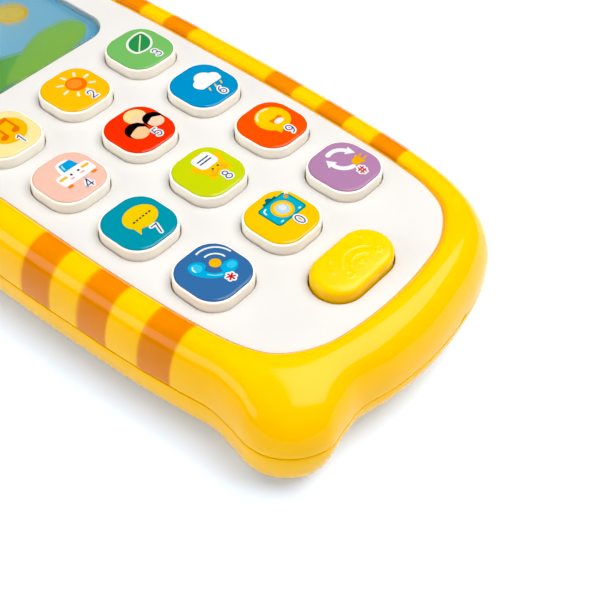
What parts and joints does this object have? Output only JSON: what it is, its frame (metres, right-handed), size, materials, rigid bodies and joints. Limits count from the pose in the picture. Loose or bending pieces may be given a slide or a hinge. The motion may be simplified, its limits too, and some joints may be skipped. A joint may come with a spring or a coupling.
{
  "type": "toy cell phone",
  "caption": "Child's toy phone: two rounded case shells, face plate with push buttons, picture window, rear speaker, slide switch and battery bay.",
  "frame": {"origin": "middle of the flat back, on the surface the phone lies on", "axes": "+X across the face to the right of the keypad, +Y along the phone towards the earpiece end, +Z out of the face"},
  "size_m": [0.0824, 0.168, 0.0253],
  "materials": {
    "case_yellow": "glossy yellow ABS, orange bands on the upper shell",
    "call_yellow": "satin yellow plastic",
    "face_white": "fine satin white",
    "key_white": "satin off-white",
    "lens_clear": "clear styrene window",
    "screen_card": "printed card",
    "silicone": "soft silicone",
    "circuit_board": "green laminate",
    "black_plastic": "black",
    "speaker_black": "black pressed basket",
    "cone_paper": "black paper",
    "led_clear": "clear epoxy",
    "wire_red": "red sleeve",
    "wire_black": "black sleeve",
    "steel": "zinc plated",
    "cell_blue": "plain printed sleeve",
    "label_1": "domed glossy inlay",
    "label_2": "domed glossy inlay",
    "label_3": "domed glossy inlay",
    "label_4": "domed glossy inlay",
    "label_5": "domed glossy inlay",
    "label_6": "domed glossy inlay",
    "label_7": "domed glossy inlay",
    "label_8": "domed glossy inlay",
    "label_9": "domed glossy inlay",
    "label_0": "domed glossy inlay",
    "label_star": "domed glossy inlay",
    "label_hash": "domed glossy inlay"
  },
  "bodies": {
    "case": {"battery_left": "cell_blue", "battery_right": "cell_blue", "case_screw_1": "steel", "case_screw_2": "steel", "case_screw_3": "steel", "case_screw_4": "steel", "contact_bridge": "steel", "contact_negative": "steel", "contact_positive": "steel", "controller_blob": "black_plastic", "face_panel": "face_white", "keypad_membrane": "silicone", "led_board": "circuit_board", "led_left": "led_clear", "led_right": "led_clear", "link_wire_black": "wire_black", "link_wire_red": "wire_red", "lower_shell": "case_yellow", "main_board": "circuit_board", "screen_card": "screen_card", "screen_lens": "lens_clear", "speaker_frame": "speaker_black", "speaker_magnet": "steel", "speaker_wire_black": "wire_black", "speaker_wire_red": "wire_red", "switch_body": "steel", "upper_shell": "case_yellow"},
    "door": {"battery_door": "case_yellow"},
    "door_screw": {"battery_door_screw": "steel"},
    "button_call": {"call_button": "call_yellow"},
    "button_0": {"key_0": "key_white", "label_0": "label_0"},
    "button_1": {"key_1": "key_white", "label_1": "label_1"},
    "button_2": {"key_2": "key_white", "label_2": "label_2"},
    "button_3": {"key_3": "key_white", "label_3": "label_3"},
    "button_4": {"key_4": "key_white", "label_4": "label_4"},
    "button_5": {"key_5": "key_white", "label_5": "label_5"},
    "button_6": {"key_6": "key_white", "label_6": "label_6"},
    "button_7": {"key_7": "key_white", "label_7": "label_7"},
    "button_8": {"key_8": "key_white", "label_8": "label_8"},
    "button_9": {"key_9": "key_white", "label_9": "label_9"},
    "button_hash": {"key_hash": "key_white", "label_hash": "label_hash"},
    "button_star": {"key_star": "key_white", "label_star": "label_star"},
    "cone": {"speaker_cone": "cone_paper"},
    "power_switch": {"switch_knob": "black_plastic"}
  },
  "joints": [
    {"name": "press_1", "type": "slide", "parent": "case", "child": "button_1", "axis": [0, 0, -1], "range_m": [0, 0.0012], "stiffness_N_per_m": 600, "springref_m": -0.0004},
    {"name": "press_2", "type": "slide", "parent": "case", "child": "button_2", "axis": [0, 0, -1], "range_m": [0, 0.0012], "stiffness_N_per_m": 600, "springref_m": -0.0004},
    {"name": "press_3", "type": "slide", "parent": "case", "child": "button_3", "axis": [0, 0, -1], "range_m": [0, 0.0012], "stiffness_N_per_m": 600, "springref_m": -0.0004},
    {"name": "press_4", "type": "slide", "parent": "case", "child": "button_4", "axis": [0, 0, -1], "range_m": [0, 0.0012], "stiffness_N_per_m": 600, "springref_m": -0.0004},
    {"name": "press_5", "type": "slide", "parent": "case", "child": "button_5", "axis": [0, 0, -1], "range_m": [0, 0.0012], "stiffness_N_per_m": 600, "springref_m": -0.0004},
    {"name": "press_6", "type": "slide", "parent": "case", "child": "button_6", "axis": [0, 0, -1], "range_m": [0, 0.0012], "stiffness_N_per_m": 600, "springref_m": -0.0004},
    {"name": "press_7", "type": "slide", "parent": "case", "child": "button_7", "axis": [0, 0, -1], "range_m": [0, 0.0012], "stiffness_N_per_m": 600, "springref_m": -0.0004},
    {"name": "press_8", "type": "slide", "parent": "case", "child": "button_8", "axis": [0, 0, -1], "range_m": [0, 0.0012], "stiffness_N_per_m": 600, "springref_m": -0.0004},
    {"name": "press_9", "type": "slide", "parent": "case", "child": "button_9", "axis": [0, 0, -1], "range_m": [0, 0.0012], "stiffness_N_per_m": 600, "springref_m": -0.0004},
    {"name": "press_star", "type": "slide", "parent": "case", "child": "button_star", "axis": [0, 0, -1], "range_m": [0, 0.0012], "stiffness_N_per_m": 600, "springref_m": -0.0004},
    {"name": "press_0", "type": "slide", "parent": "case", "child": "button_0", "axis": [0, 0, -1], "range_m": [0, 0.0012], "stiffness_N_per_m": 600, "springref_m": -0.0004},
    {"name": "press_hash", "type": "slide", "parent": "case", "child": "button_hash", "axis": [0, 0, -1], "range_m": [0, 0.0012], "stiffness_N_per_m": 600, "springref_m": -0.0004},
    {"name": "press_call", "type": "slide", "parent": "case", "child": "button_call", "axis": [0, 0, -1], "range_m": [0, 0.0012], "stiffness_N_per_m": 600, "springref_m": -0.0004},
    {"name": "power_slide", "type": "slide", "parent": "case", "child": "power_switch", "axis": [1, 0, 0], "range_m": [-0.0025, 0.0025]},
    {"name": "door_lift", "type": "slide", "parent": "case", "child": "door", "axis": [0, 0, -1], "range_m": [0, 0.03]},
    {"name": "door_screw_turn", "type": "hinge", "parent": "door", "child": "door_screw", "pos_m": [0, 0.0095, 0.0005], "axis": [0, 0, -1], "range_deg": [0, 1080]},
    {"name": "cone_move", "type": "slide", "parent": "case", "child": "cone", "axis": [0, 0, 1], "range_m": [-0.0004, 0.0004], "stiffness_N_per_m": 600}
  ]
}
